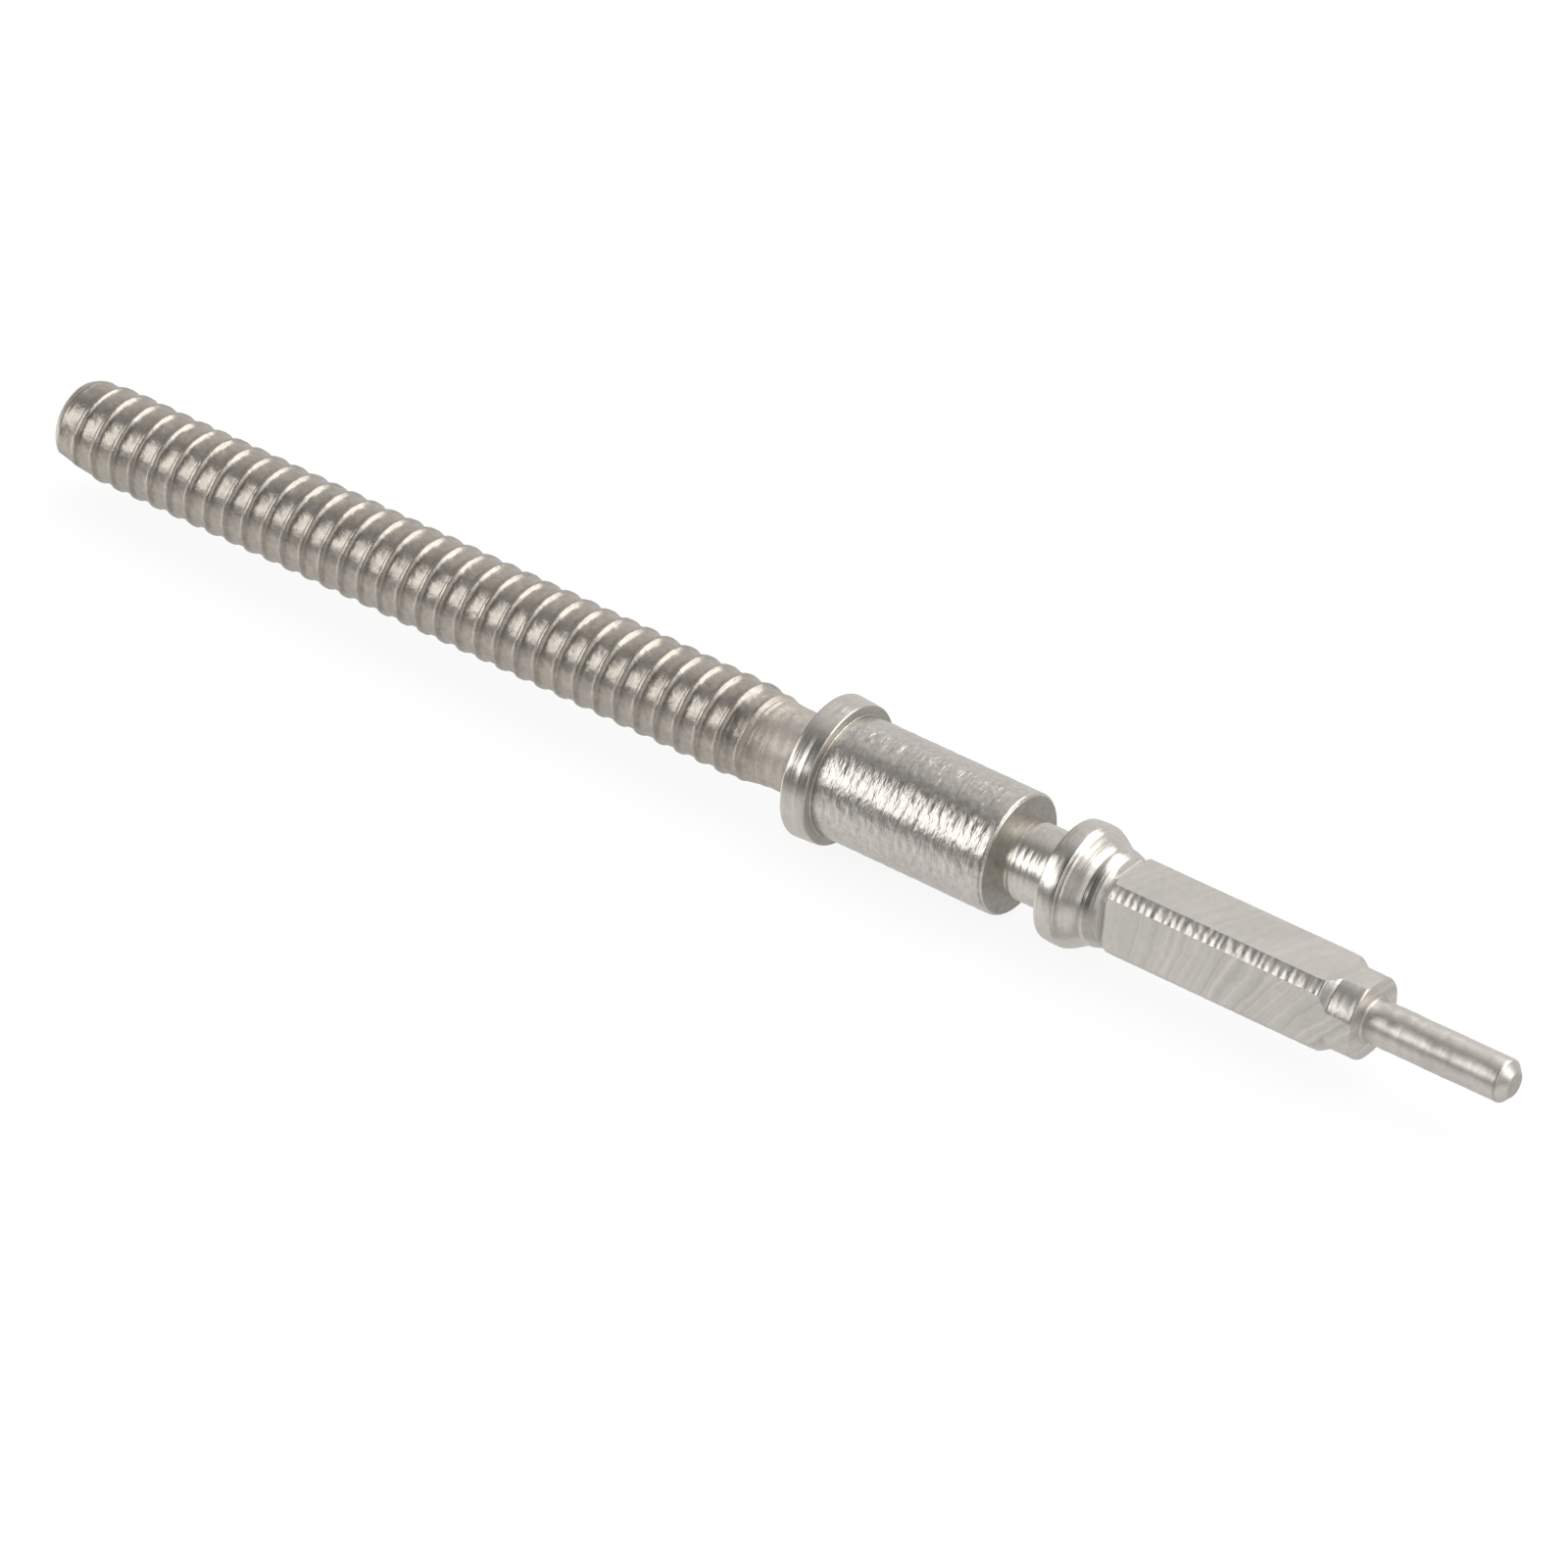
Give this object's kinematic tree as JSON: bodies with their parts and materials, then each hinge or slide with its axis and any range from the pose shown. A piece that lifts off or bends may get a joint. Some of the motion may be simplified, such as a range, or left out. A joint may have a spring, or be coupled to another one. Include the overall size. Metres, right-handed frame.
{
  "type": "watch stem",
  "caption": "Winding stem for a watch movement: threaded crown end, flanged bearing journal, setting-lever groove, guide collar, milled winding square and pilot pivot.",
  "frame": {"origin": "middle of the bearing journal, on the stem's axis", "axes": "+X along the stem's axis, from the crown thread towards the pilot pivot; two of the square's flats face +Z and -Z, and two face +Y and -Y"},
  "size_m": [0.0159, 0.0014, 0.0014],
  "materials": {
    "thread_steel": "rolled thread, warm grey, soft shine",
    "turned_steel": "fine turning rings",
    "journal_steel": "turned, with a fine dimpled grain",
    "milled_steel": "milled flats with curved tool marks",
    "pivot_steel": "burnished pivot"
  },
  "bodies": {
    "root": {"crown_thread": "thread_steel", "relief_neck": "turned_steel", "stop_flange": "turned_steel", "bearing_journal": "journal_steel", "lever_groove": "turned_steel", "guide_collar": "turned_steel", "root_bead": "turned_steel", "winding_square": "milled_steel", "square_nose": "milled_steel", "pilot_pivot": "pivot_steel"}
  },
  "joints": []
}
